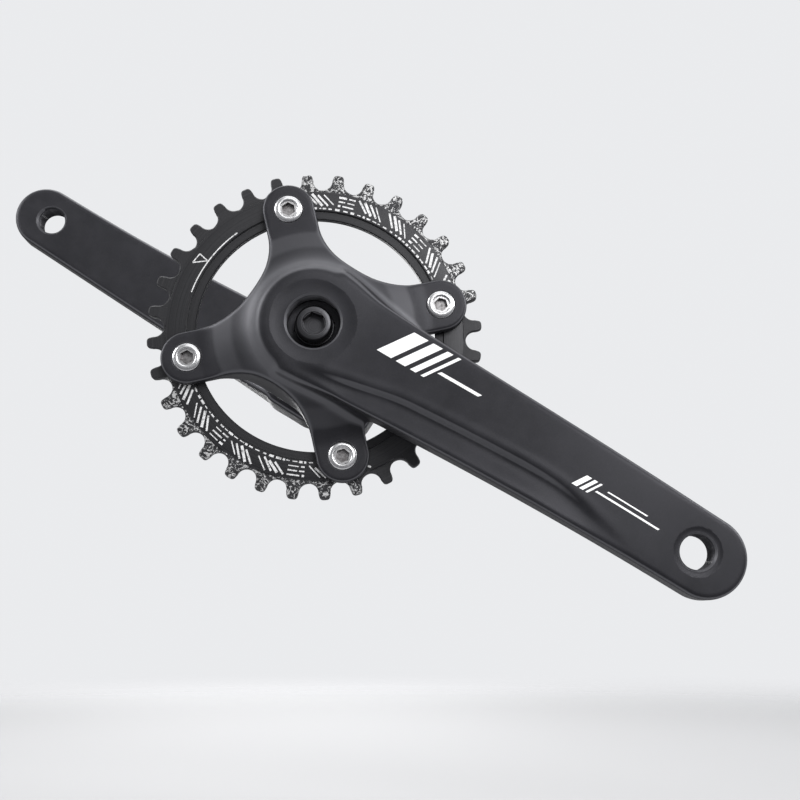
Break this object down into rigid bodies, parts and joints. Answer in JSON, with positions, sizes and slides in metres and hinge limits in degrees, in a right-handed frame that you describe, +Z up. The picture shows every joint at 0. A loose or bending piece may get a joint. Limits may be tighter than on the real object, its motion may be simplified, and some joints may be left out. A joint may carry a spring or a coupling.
{
  "type": "bicycle crankset",
  "caption": "Bicycle crankset: two aluminium arms on a square taper cartridge bottom bracket, with a spider and one narrow-wide chainring on the drive side.",
  "frame": {"origin": "on the spindle axis, midway between the faces of the bottom bracket shell", "axes": "+Y along the spindle axis towards the left (non-drive) side, so the chainring is at -Y; +X towards the front of the bicycle; +Z up"},
  "size_m": [0.3263, 0.18, 0.2156],
  "materials": {
    "arm_anodised": "satin charcoal anodised",
    "ring_anodised": "satin black anodised with laser etched hatching",
    "bright_fasteners": "polished",
    "dark_fasteners": "black oxide",
    "spindle_steel": "ground",
    "sleeve_steel": "black paint",
    "cup_alloy": "machined",
    "bearing_steel": "ground and polished",
    "cage_plastic": "moulded",
    "seal_rubber": "moulded"
  },
  "bodies": {
    "bottom_bracket": {"cartridge_sleeve": "sleeve_steel", "right_cup": "cup_alloy", "left_cup": "cup_alloy", "right_bearing_outer_race": "bearing_steel", "left_bearing_outer_race": "bearing_steel", "right_bearing_seals": "seal_rubber", "left_bearing_seals": "seal_rubber", "right_dust_seal": "seal_rubber", "left_dust_seal": "seal_rubber"},
    "crank": {"spindle": "spindle_steel", "right_crank_arm": "arm_anodised", "left_crank_arm": "arm_anodised", "chainring": "ring_anodised", "chainring_bolts": "bright_fasteners", "chainring_nuts": "dark_fasteners", "right_crank_bolt": "dark_fasteners", "left_crank_bolt": "dark_fasteners", "right_crank_washer": "dark_fasteners", "left_crank_washer": "dark_fasteners", "right_bearing_inner_race": "bearing_steel", "left_bearing_inner_race": "bearing_steel"},
    "right_bearing_cage": {"right_bearing_cage": "cage_plastic", "right_bearing_balls": "bearing_steel"},
    "left_bearing_cage": {"left_bearing_cage": "cage_plastic", "left_bearing_balls": "bearing_steel"}
  },
  "joints": [
    {"name": "crank_spin", "type": "hinge", "parent": "bottom_bracket", "child": "crank", "pos_m": [0, 0, 0], "axis": [0, 1, 0], "continuous": true},
    {"name": "right_cage_spin", "type": "hinge", "parent": "bottom_bracket", "child": "right_bearing_cage", "pos_m": [0, -0.027, 0], "axis": [0, 1, 0], "continuous": true},
    {"name": "left_cage_spin", "type": "hinge", "parent": "bottom_bracket", "child": "left_bearing_cage", "pos_m": [0, 0.027, 0], "axis": [0, 1, 0], "continuous": true}
  ],
  "couplings": [
    {"joint": "right_cage_spin", "follows": "crank_spin", "ratio": 0.42553},
    {"joint": "left_cage_spin", "follows": "crank_spin", "ratio": 0.42553}
  ]
}
